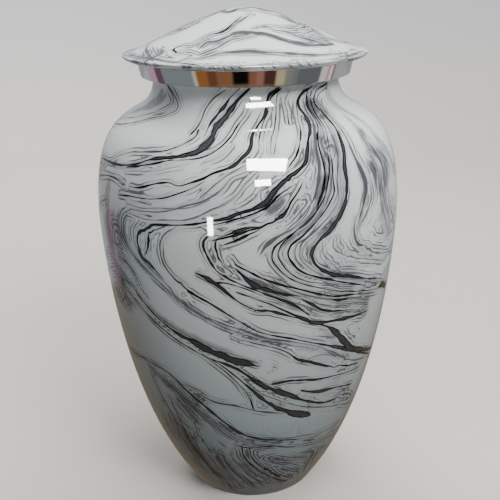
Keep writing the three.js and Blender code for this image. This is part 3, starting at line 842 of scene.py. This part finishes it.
def marbledGlossEnamel():
    e = enamel
    material, tree, surface = newMaterial("marbled_gloss_enamel")
    add = partial(addNode, tree)
    times, less, over = ({"operation": name} for name in ("MULTIPLY", "SUBTRACT", "DIVIDE"))
    timesPlus, most = {"operation": "MULTIPLY_ADD"}, {"operation": "MAXIMUM"}
    smooth = {"interpolation_type": "SMOOTHSTEP"}
    twist = {"noise_dimensions": "4D"}
    coordinates = add("TexCoord", {}, "Object")
    height = add("SeparateXYZ", {0: coordinates}, "Z")
    flow, grade, beside, unended, busy, crowd, curl = (
        add("Attribute", {}, "Fac", attribute_name=name)
        for name in ("flow", "grade", "beside", "open", "busy", "crowd", "curl"))

    def span(value, name):  # a value and the two ends of its span, as a map's first inputs
        return {0: value, 1: e[name + "Span"][0], 2: e[name + "Span"][1]}

    def sized(name, **more):  # a noise's inputs, from its size in mm
        return {"Vector": coordinates, "Scale": 1 / (e[name] * mm), **more}

    # edges wobble a little everywhere, and squiggle in the curls
    wobble = add("MapRange", {0: add("TexNoise", sized("wobbleSize")), 3: -e["wobble"], 4: e["wobble"]})
    squiggle = add("MapRange", {0: add("TexNoise", sized("curlSize", Detail=1)), 3: -e["curl"], 4: e["curl"]})
    wobble = add("Math", {0: squiggle, 1: curl, 2: wobble}, **timesPlus)
    uneven = add("TexNoise", sized("swellSize", Detail=1))
    swell = add("MapRange", {**span(uneven, "swell"), 3: e["thin"], 4: e["thick"]}, **smooth)
    flow = add("Math", {0: wobble, 1: grade, 2: flow}, **timesPlus)
    beside = add("Math", {0: beside, 1: wobble})

    # a line's cover, one half at its edge, and the depth in it; away is the distance from its middle
    def inkLine(half, away, soft):
        depth = add("Math", {0: add("Math", {0: half, 1: away}, **less), 1: soft}, **over)
        edge = add("Math", {0: depth, 1: 0.5}, use_clamp=True)
        there = add("Math", {0: half, 1: e["fullInk"]}, use_clamp=True, **times)
        return add("Math", {0: edge, 1: there}, **times), depth

    # each layer of strokes: how much of it covers the ground, and how far in from its edge a place lies
    def strokes(kind):
        cover, depth = 0.0, e["outside"]
        for i in range(layerCount[kind]):
            apart, ink = (add("Attribute", {}, "Fac", attribute_name=f"{kind}_{i}_{part}")
                          for part in ("apart", "ink"))
            half = add("Math", {0: ink, 1: swell}, **times)
            away = add("Math", {0: add("Math", {0: apart, 1: wobble})}, operation="ABSOLUTE")
            line, inside = inkLine(half, away, e[kind + "Soft"])
            cover = add("Math", {0: cover, 1: line}, **most)
            depth = add("Math", {0: depth, 1: inside}, **most)
        return cover, depth

    # fine lines: index counts them, and each fades in and out along its length by its own part of the noise
    def fineLines(index, spacing, kind):
        number = add("Math", {0: index}, operation="ROUND")
        off = add("Math", {0: add("Math", {0: index, 1: number}, **less)}, operation="ABSOLUTE")
        away = add("Math", {0: off, 1: spacing}, **times)
        own = add("Math", {0: number, 1: e["lineShift"]}, **times)
        presence = add("TexNoise", sized(kind + "Reach", W=own, Detail=1), **twist)
        half = add("MapRange", {**span(presence, "line"), 4: e[kind + "Half"]}, **smooth)
        return inkLine(half, away, e["blackSoft"])[0]

    # hair lines run beside the strokes
    drift = add("TexNoise", sized("hairWander"))
    index = add("Math", {0: beside, 1: e["hairSpacing"]}, **over)
    index = add("Math", {0: drift, 1: e["hairDrift"], 2: index}, **timesPlus)
    hair = fineLines(index, e["hairSpacing"], "hair")
    clear = add("Math", {0: beside, 1: e["hairStart"]}, operation="GREATER_THAN")
    clear = add("Math", {0: clear, 1: unended}, **times)
    crowded = add("MapRange", span(add("Math", {0: busy, 1: curl}), "hair"), **smooth)
    hair = add("Math", {0: hair, 1: add("Math", {0: clear, 1: crowded}, **times)}, **times)

    # where lines crowd, others are combed along the flow
    drift = add("TexNoise", sized("combWander"))
    index = add("Math", {0: flow, 1: e["combSpacing"]}, **over)
    index = add("Math", {0: drift, 1: e["combDrift"], 2: index}, **timesPlus)
    combed = fineLines(index, add("Math", {0: e["combSpacing"], 1: grade}, **over), "comb")
    dense = add("MapRange", span(crowd, "comb"), **smooth)
    steep = add("MapRange", span(grade, "steep"), **smooth)
    combed = add("Math", {0: combed, 1: add("Math", {0: dense, 1: steep}, **times)}, **times)
    hair = add("Math", {0: hair, 1: combed}, **most)

    # washes: streaked along the flow, in the crowded places and round the foot, where they are partly grey
    # marbling and partly painted shade
    along = {name: add("Math", {0: flow, 1: e[name + "Stretch"]}, **over)
             for name in ("streak", "wash", "lilac")}
    streaks = add("TexNoise", sized("streakSize", W=along["streak"]), **twist)
    patches = add("TexNoise", sized("washSize", W=along["wash"]), **twist)
    hues = add("TexNoise", sized("lilacSize", W=along["lilac"], Detail=1), **twist)
    # the washes gather towards the foot, partly as grey marbling and partly as painted shade
    foot = add("MapRange", span(height, "foot"), **smooth)
    foot = add("Math", {0: foot, 1: add("MapRange", span(grade, "footSlope"), **smooth)}, **times)
    where = add("Math", {0: add("MapRange", span(busy, "busy"), **smooth), 1: foot}, **most)
    wash = add("MapRange", {**span(patches, "wash"), 4: e["wash"]}, **smooth)
    wash = add("Math", {0: wash, 1: where}, **times)
    lilac = add("MapRange", span(hues, "lilac"), **smooth)

    # one over the other: ground, washes, smoke, fine lines, grey strokes and black ones
    black, blackDepth = strokes("black")
    grey, _ = strokes("grey")
    smoke, _ = strokes("smoke")
    # the ground greys towards the foot, partly greyer enamel and partly painted shade
    low = add("MapRange", span(height, "ground"), **smooth)
    tint = add("Mix", {0: lilac, 6: linear(e["smoke"]), 7: linear(e["lilac"])}, 2, data_type="RGBA")
    thinned = add("MapRange", {**span(streaks, "smokeStreak"), 3: e["smokeThinned"]}, **smooth)
    smoke = add("Math", {0: smoke, 1: thinned}, **times)
    hair = add("Math", {0: hair, 1: e["hair"]}, **times)
    thinned = add("MapRange", {**span(streaks, "greyStreak"), 3: e["greyThinned"]}, **smooth)
    grey = add("Math", {0: grey, 1: thinned}, **times)
    core = add("MapRange", span(blackDepth, "core"), **smooth)
    core = add("Math", {0: core, 1: add("MapRange", span(streaks, "coreStreak"), **smooth)}, **times)
    ink = add("Mix", {0: core, 6: linear(e["black"]), 7: linear(e["core"])}, 2, data_type="RGBA")
    colour = add("Mix", {0: low, 6: linear(e["footGreyAndShade"]), 7: linear(e["ground"])}, 2, data_type="RGBA")
    greyInk = linear(e["grey"])
    for cover, paint in ((wash, tint), (smoke, tint), (hair, greyInk), (grey, greyInk), (black, ink)):
        colour = add("Mix", {0: cover, 6: colour, 7: paint}, 2, data_type="RGBA")
    tree.links.new(colour, surface.inputs["Base Color"])
    surface.inputs["Roughness"].default_value = e["roughness"]
    surface.inputs["IOR"].default_value = e["ior"]
    return material


# Turned and plated steel, polished: mirror bright, with the faint rings that the polishing wheel leaves,
# drawn coarser than real ones. Spacing and depth are in mm.
band = {"tint": "#D9D9DB", "roughness": 0.05, "ringSpacing": 3.77, "ringDepth": 0.002, "ringWaver": 0.4,
        "ringStrength": 0.05}
bandsPerUnit = 20 / (2 * math.pi)  # of Blender's wave texture at a scale of 1


def polishedPlatedMetal():
    material, tree, surface = newMaterial("polished_plated_metal")
    coordinates = addNode(tree, "TexCoord", {}, "Object")
    scale = 1 / (bandsPerUnit * band["ringSpacing"] * mm)
    rings = addNode(tree, "TexWave", {"Vector": coordinates, "Scale": scale, "Distortion": band["ringWaver"]},
                    "Fac", wave_type="BANDS", bands_direction="Z")
    bump = addNode(tree, "Bump", {"Strength": band["ringStrength"], "Distance": band["ringDepth"] * mm,
                                  "Height": rings})
    tree.links.new(bump, surface.inputs["Normal"])
    surface.inputs["Base Color"].default_value = linear(band["tint"])
    surface.inputs["Metallic"].default_value = 1.0
    surface.inputs["Roughness"].default_value = band["roughness"]
    return material


layerCount = {kind: max(bodyLayers[kind], lidLayers[kind]) for kind in bodyLayers}
enamelMaterial = marbledGlossEnamel()
bodyPiece.data.materials.append(enamelMaterial)
lidPiece.data.materials.append(enamelMaterial)
collarPiece.data.materials.append(polishedPlatedMetal())
for piece, node, finish in ((bodyPiece, "body", "marbled_enamel"), (lidPiece, "lid", "marbled_enamel"),
                            (collarPiece, "collar", "polished_metal")):
    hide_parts(node)
    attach(piece, "root")
print("finishes made")


# A round studio: a pale floor that curves up into a pale wall.
studio = {
    "radius": 1300, "curve": 500, "bulge": 0.55, "height": 1500, "sides": 96, "curveRows": 16,
    "floorTint": "#BDB8B0", "wallTint": "#AEB1B6", "wallFrom": 300, "roughness": 0.7,
}


def roundBowl(name, line, sides):
    angles = np.arange(sides) * 2 * math.pi / sides
    verts = [(0, 0, line[0][1] * mm)]
    verts += [(r * math.sin(a) * mm, -r * math.cos(a) * mm, z * mm) for r, z in line[1:] for a in angles]
    faces = [(0, 1 + i, 1 + (i + 1) % sides) for i in range(sides)]
    for row in range(len(line) - 2):
        low, high = 1 + row * sides, 1 + (row + 1) * sides
        faces += [(low + i, high + i, high + (i + 1) % sides, low + (i + 1) % sides) for i in range(sides)]
    mesh = bpy.data.meshes.new(name)
    mesh.from_pydata(verts, [], faces)
    mesh.polygons.foreach_set("use_smooth", [True] * len(mesh.polygons))
    bowl = bpy.data.objects.new(name, mesh)
    bpy.context.collection.objects.link(bowl)
    return bowl


def makeStudio():
    s = studio
    flat, radius, curve = s["radius"] - s["curve"], s["radius"], s["curve"]
    cove = bend((flat, 0), (flat + curve * s["bulge"], 0), (radius, curve * (1 - s["bulge"])),
                (radius, curve), s["curveRows"])
    bowl = roundBowl("studio", np.vstack([[(0, 0), (flat, 0)], cove, [(radius, s["height"])]]), s["sides"])
    bowl.visible_glossy = bowl.visible_diffuse = False  # so that the urn darkens to its foot
    material, tree, surface = newMaterial("studio_paint")
    height = addNode(tree, "SeparateXYZ", {0: addNode(tree, "TexCoord", {}, "Object")}, "Z")
    rise = addNode(tree, "MapRange", {0: height, 2: s["wallFrom"] * mm})
    paint = addNode(tree, "Mix", {0: rise, 6: linear(s["floorTint"]), 7: linear(s["wallTint"])}, 2,
                    data_type="RGBA")
    tree.links.new(paint, surface.inputs["Base Color"])
    surface.inputs["Roughness"].default_value = s["roughness"]
    bowl.data.materials.append(material)


# What the gloss mirrors, as a studio hangs dark flags and tinted cards round shiny things: a shell that glows
# with its own light, though it is no lamp, and shows in reflections alone. Cards are sectors of the floor, by
# azimuth in degrees from the front; the wall is dim in front and pale behind.
mirrored = {
    "radius": 1280, "height": 1490, "sides": 360, "floorRings": (0, 60, 150), "midRing": 500, "floor": 0.3,
    "wallRows": (150, 400, 800), "ceilingRing": 0.6, "hole": 1, "slack": 1,
    "nearTint": "#84735D", "farTint": "#A6A2A3", "ceilingTint": "#7D8287",
    "frontTint": "#34383C", "backTint": "#AEB2B7", "backFrom": 70, "backOver": 60,
    "cardsFrom": 330, "cardsFromSoft": 30, "cardsTo": 820, "cardsToSoft": 100, "cardSoft": 2.8,
    "cards": [
        (-180, "#B9BCBE"), (-127, "#C09CB0"), (-111, "#6E5060"), (-99, "#858D90"), (-57, "#CFC8B4"),
        (-53, "#9A6538"), (-40, "#6E4A33"), (-30, "#8C6244"), (-13, "#120F0D"), (4, "#8E5F4C"),
        (12, "#A07262"), (20, "#55372C"), (33, "#C4B892"), (43, "#8B8A80"), (52, "#7B7F81"),
        (58, "#6C6F71"), (88, "#E6DEDC"), (98, "#D79A98"), (102, "#EFEDEC"), (107, "#8D4A46"),
        (110, "#B4B6B6"),
    ],
}


def makeMirrored():
    m = mirrored
    cardsStart, cardsEnd = m["cardsFrom"] - m["cardsFromSoft"], m["cardsTo"] + m["cardsToSoft"]
    radii = (*m["floorRings"], cardsStart, m["cardsFrom"], m["midRing"], m["cardsTo"], cardsEnd, m["radius"])
    line = [(r, m["floor"]) for r in radii] + [(m["radius"], z) for z in (*m["wallRows"], m["height"])]
    line += [(m["radius"] * m["ceilingRing"], m["height"]), (m["hole"], m["height"])]
    bowl = roundBowl("mirrored", line, m["sides"])
    bowl.visible_camera = bowl.visible_diffuse = bowl.visible_shadow = bowl.visible_transmission = False
    shades = bowl.data.color_attributes.new("shade", "FLOAT_COLOR", "POINT")
    starts = np.array([card[0] for card in m["cards"]], float)
    tints = np.array([linear(card[1]) for card in m["cards"]])
    wrapped = np.concatenate([starts, [180]])
    knots = np.sort(np.concatenate([wrapped[:-1] + m["cardSoft"] / 2, wrapped[1:] - m["cardSoft"] / 2]))
    steps = np.repeat(tints, 2, axis=0)
    near, far, front, back, ceiling = (np.array(linear(m[part + "Tint"]))
                                       for part in ("near", "far", "front", "back", "ceiling"))
    for i, vertex in enumerate(bowl.data.vertices):
        x, y, z = (c / mm for c in vertex.co)
        azimuth = math.degrees(math.atan2(x, -y))
        out = math.hypot(x, y)
        if z < m["slack"]:
            share = np.clip((out - cardsStart) / m["cardsFromSoft"], 0, 1)
            card = np.array([np.interp(azimuth, knots, steps[:, c]) for c in range(4)])
            shade = near * (1 - share) + card * share
            share = np.clip((out - m["cardsTo"]) / m["cardsToSoft"], 0, 1)
            shade = shade * (1 - share) + far * share
        elif out < m["radius"] - m["slack"]:
            shade = ceiling
        else:
            behind = np.clip((abs(azimuth) - m["backFrom"]) / m["backOver"], 0, 1)
            shade = front * (1 - behind) + back * behind
        shades.data[i].color = shade
    material, tree, surface = newMaterial("mirrored_shades")
    tinted = addNode(tree, "Attribute", {}, "Color", attribute_name="shade")
    # the shell glows with these tints, though it is no lamp, and gives the painted tints the enamel and
    # collar reflect
    glow = addNode(tree, "Emission", {"Color": tinted})
    tree.links.new(glow, tree.nodes["Material Output"].inputs["Surface"])
    bowl.data.materials.append(material)


# Lights, in mm and W. The gleams show only in the gloss, the others only as light. A turn is about the aim.
lights = {
    "ceiling": {"place": (330, 60, 1450), "aim": (0, 0, 0), "size": (1200, 1200), "power": 28},
    "key": {"place": (500, -800, 1000), "aim": (0, 0, 150), "size": (500, 400), "power": 14},
    "back_fill": {"place": (-450, 900, 900), "aim": (0, 0, 120), "size": (900, 900), "power": 16},
    "window_gleam": {"place": (245, -790, 860), "aim": (8, -72, 206), "size": (500, 330), "power": 90,
                     "turn": -12},
    "lower_gleam": {"place": (205, -1000, 520), "aim": (8, -76, 198), "size": (200, 110), "power": 14},
    "card_gleam": {"place": (-330, -700, 55), "aim": (-16, -79, 177), "size": (50, 110), "power": 2.4},
}


def areaLight(name, place, aim, size, power, turn=0):
    data = bpy.data.lights.new(name, "AREA")
    data.shape = "RECTANGLE"
    data.size, data.size_y = size[0] * mm, size[1] * mm
    data.energy = power
    light = bpy.data.objects.new(name, data)
    light.location = Vector(place) * mm
    aimed = (Vector(aim) - Vector(place)).to_track_quat("-Z", "Y").to_matrix()
    light.rotation_euler = (aimed @ Matrix.Rotation(math.radians(turn), 3, "Z")).to_euler()
    gleams = name.endswith("gleam")
    light.visible_camera, light.visible_glossy, light.visible_diffuse = False, gleams, not gleams
    bpy.context.collection.objects.link(light)


# Light from all round, dimmer from below, as over a dark shelf.
air = {"tint": "#D3D8DD", "above": 0.5, "below": 0.17, "belowFrom": -0.3, "aboveFrom": 0.5}


def makeAir():
    world = bpy.data.worlds.new("studio_air")
    bpy.context.scene.world = world
    world.use_nodes = True
    tree = world.node_tree
    up = addNode(tree, "SeparateXYZ", {0: addNode(tree, "TexCoord", {}, "Generated")}, "Z")
    strength = addNode(tree, "MapRange", {0: up, 1: air["belowFrom"], 2: air["aboveFrom"], 3: air["below"],
                                          4: air["above"]})
    tree.nodes["Background"].inputs["Color"].default_value = linear(air["tint"])
    tree.links.new(strength, tree.nodes["Background"].inputs["Strength"])


makeStudio()
makeMirrored()
for name, lamp in lights.items():
    areaLight(name, **lamp)
makeAir()
print("studio lit")
